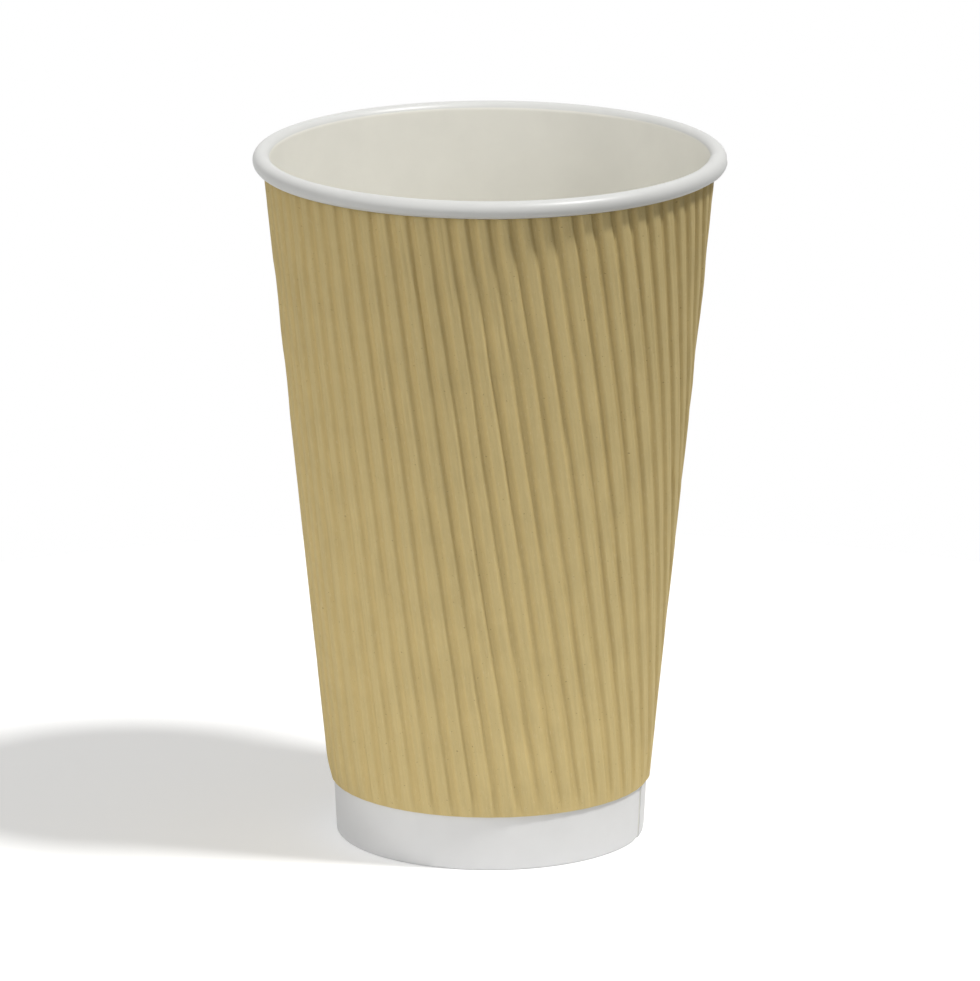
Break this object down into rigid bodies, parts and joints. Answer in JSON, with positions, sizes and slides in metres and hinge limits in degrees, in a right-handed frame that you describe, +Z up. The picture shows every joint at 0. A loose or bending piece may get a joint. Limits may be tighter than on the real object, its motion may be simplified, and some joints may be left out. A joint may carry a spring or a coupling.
{
  "type": "paper coffee cup",
  "caption": "Tall tapered paper coffee cup with a rolled rim, a recessed base and a fluted kraft sleeve around its wall.",
  "frame": {"origin": "centre of the foot, on the plane that the cup stands on", "axes": "+Z up along the cup's axis, -Y towards the side that the picture shows, +X to the right of that side, near the seams"},
  "size_m": [0.09, 0.09, 0.1339],
  "materials": {
    "coated_paper": "smooth white coated board with a soft sheen",
    "kraft_paper": "matt fluted brown kraft with fine fibres"
  },
  "bodies": {
    "root": {"cup_wall": "coated_paper", "base_disc": "coated_paper", "ripple_wrap": "kraft_paper"}
  },
  "joints": []
}
